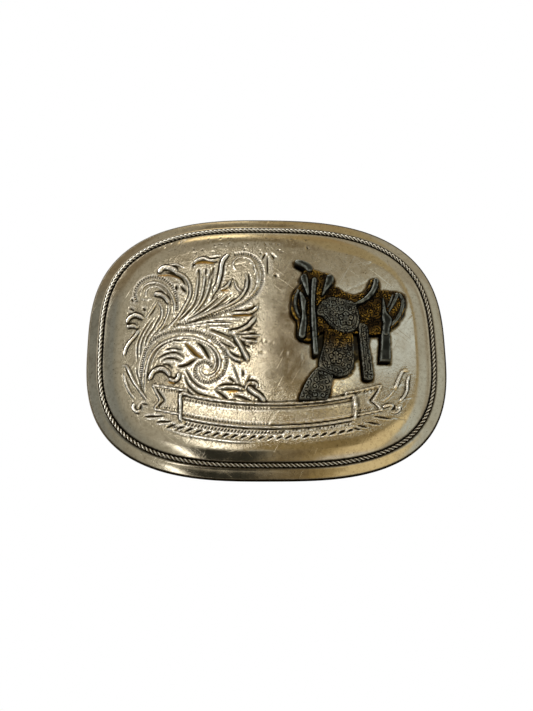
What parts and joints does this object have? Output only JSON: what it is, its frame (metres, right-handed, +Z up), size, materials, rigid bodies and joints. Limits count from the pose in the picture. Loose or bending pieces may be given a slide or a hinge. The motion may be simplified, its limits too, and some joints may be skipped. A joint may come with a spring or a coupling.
{
  "type": "belt buckle",
  "caption": "Rounded plate buckle with a rope border, engraved scrolls, a blank ribbon and an applied saddle, and on its back a hinged strap loop and a belt stud.",
  "frame": {"origin": "centre of the whole buckle's box", "axes": "upright as worn: +Z up, the face towards -Y, +X to the viewer's right, where the bail is hinged"},
  "size_m": [0.089, 0.0156, 0.0672],
  "materials": {
    "nickel_silver": "worn nickel silver, engraved, with brown patina in the recesses",
    "rope_wire": "twisted nickel silver wire, bright on its crests and dark in its grooves",
    "antiqued_casting": "cast figure, blackened, with grey rubbed edges and brown-gold recesses",
    "rivet_brass": "plain brass, dulled",
    "bracket_sheet": "plain nickel silver sheet, satin",
    "bail_wire": "nickel-plated wire, worn satin",
    "solder": "dull grey solder"
  },
  "bodies": {
    "plate": {"face_plate": "nickel_silver", "rope_border": "rope_wire", "saddle_figure": "antiqued_casting", "figure_rivets": "rivet_brass", "hinge_bracket": "bracket_sheet", "bracket_solder": "solder", "stud_base": "bracket_sheet", "belt_stud": "bail_wire", "stud_solder": "solder"},
    "bail": {"bail_loop": "bail_wire"}
  },
  "joints": [
    {"name": "bail_hinge", "type": "hinge", "parent": "plate", "child": "bail", "pos_m": [0.0125, -0.00086, 0], "axis": [0, 0, 1], "range_deg": [0, 180]}
  ]
}
